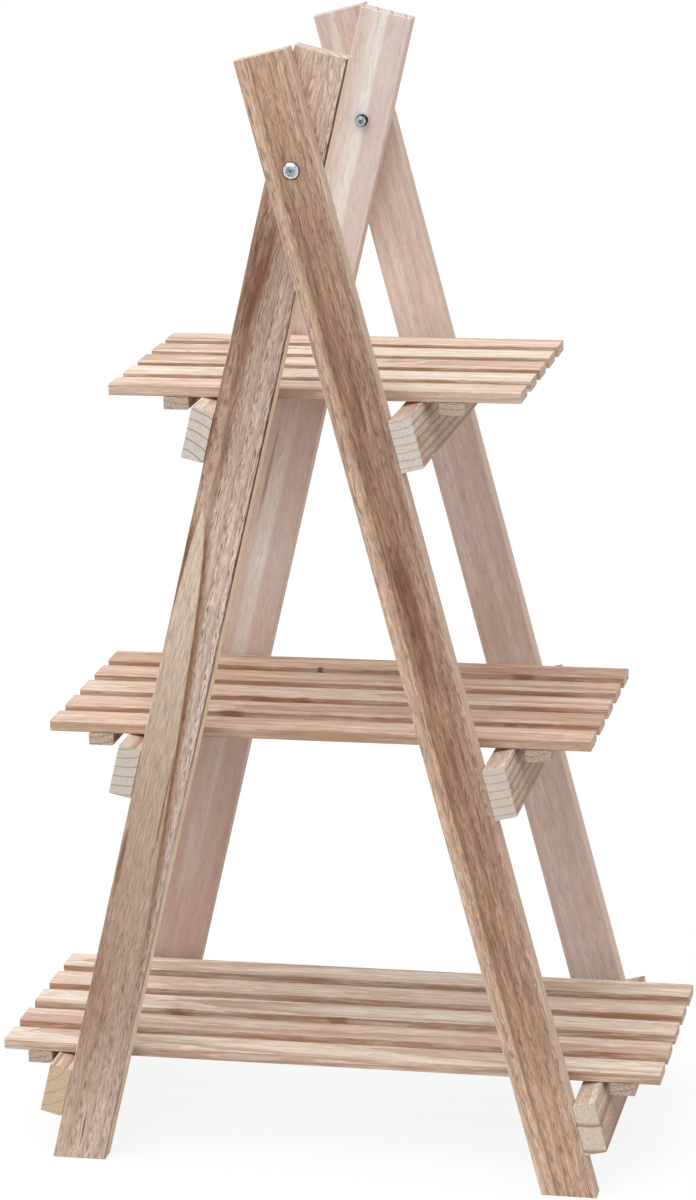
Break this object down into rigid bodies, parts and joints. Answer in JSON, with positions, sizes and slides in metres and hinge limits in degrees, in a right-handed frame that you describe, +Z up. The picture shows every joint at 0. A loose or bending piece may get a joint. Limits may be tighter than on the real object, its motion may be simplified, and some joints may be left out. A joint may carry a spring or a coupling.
{
  "type": "folding plant ladder stand",
  "caption": "Folding wooden A-frame plant stand: two scissor ladders on pivot bolts carry three loose slatted shelves that widen towards the floor.",
  "frame": {"origin": "on the floor, under the middle of the stand", "axes": "+X to the right across the stand, +Y from the front to the back, +Z up"},
  "size_m": [0.646, 0.3632, 1.084],
  "materials": {
    "front_leg_wood": "planed, bare",
    "rear_outer_leg_wood": "planed, bare",
    "rear_inner_leg_wood": "planed, bare",
    "rail_wood": "sawn, bare",
    "slat_wood": "planed, bare",
    "batten_wood": "sawn, bare",
    "zinc_plated_steel": "zinc plated"
  },
  "bodies": {
    "outer_ladder": {"front_outer_leg": "front_leg_wood", "rear_outer_leg": "rear_outer_leg_wood", "top_right_rail": "rail_wood", "middle_right_rail": "rail_wood", "bottom_right_rail": "rail_wood", "top_right_rail_front_screw": "zinc_plated_steel", "top_right_rail_rear_screw": "zinc_plated_steel", "middle_right_rail_front_screw": "zinc_plated_steel", "middle_right_rail_rear_screw": "zinc_plated_steel", "bottom_right_rail_front_screw": "zinc_plated_steel", "bottom_right_rail_rear_screw": "zinc_plated_steel", "front_pivot_bolt": "zinc_plated_steel", "front_pivot_washer": "zinc_plated_steel", "front_pivot_nut": "zinc_plated_steel", "rear_pivot_bolt": "zinc_plated_steel", "rear_pivot_washer": "zinc_plated_steel", "rear_pivot_nut": "zinc_plated_steel"},
    "inner_ladder": {"front_inner_leg": "front_leg_wood", "rear_inner_leg": "rear_inner_leg_wood", "top_left_rail": "rail_wood", "middle_left_rail": "rail_wood", "bottom_left_rail": "rail_wood", "top_left_rail_front_screw": "zinc_plated_steel", "top_left_rail_rear_screw": "zinc_plated_steel", "middle_left_rail_front_screw": "zinc_plated_steel", "middle_left_rail_rear_screw": "zinc_plated_steel", "bottom_left_rail_front_screw": "zinc_plated_steel", "bottom_left_rail_rear_screw": "zinc_plated_steel"},
    "top_shelf": {"top_shelf_slat_1": "slat_wood", "top_shelf_slat_2": "slat_wood", "top_shelf_slat_3": "slat_wood", "top_shelf_slat_4": "slat_wood", "top_shelf_slat_5": "slat_wood", "top_shelf_left_batten": "batten_wood", "top_shelf_right_batten": "batten_wood"},
    "middle_shelf": {"middle_shelf_slat_1": "slat_wood", "middle_shelf_slat_2": "slat_wood", "middle_shelf_slat_3": "slat_wood", "middle_shelf_slat_4": "slat_wood", "middle_shelf_slat_5": "slat_wood", "middle_shelf_left_batten": "batten_wood", "middle_shelf_right_batten": "batten_wood"},
    "bottom_shelf": {"bottom_shelf_slat_1": "slat_wood", "bottom_shelf_slat_2": "slat_wood", "bottom_shelf_slat_3": "slat_wood", "bottom_shelf_slat_4": "slat_wood", "bottom_shelf_slat_5": "slat_wood", "bottom_shelf_left_batten": "batten_wood", "bottom_shelf_right_batten": "batten_wood"}
  },
  "joints": [
    {"name": "ladder_fold", "type": "hinge", "parent": "outer_ladder", "child": "inner_ladder", "pos_m": [0, 0, 0.974], "axis": [0, -1, 0], "range_deg": [0, 28]},
    {"name": "top_shelf_lift", "type": "slide", "parent": "outer_ladder", "child": "top_shelf", "axis": [0, 0, 1], "range_m": [0, 0.06]},
    {"name": "middle_shelf_lift", "type": "slide", "parent": "outer_ladder", "child": "middle_shelf", "axis": [0, 0, 1], "range_m": [0, 0.06]},
    {"name": "bottom_shelf_lift", "type": "slide", "parent": "outer_ladder", "child": "bottom_shelf", "axis": [0, 0, 1], "range_m": [0, 0.06]}
  ]
}
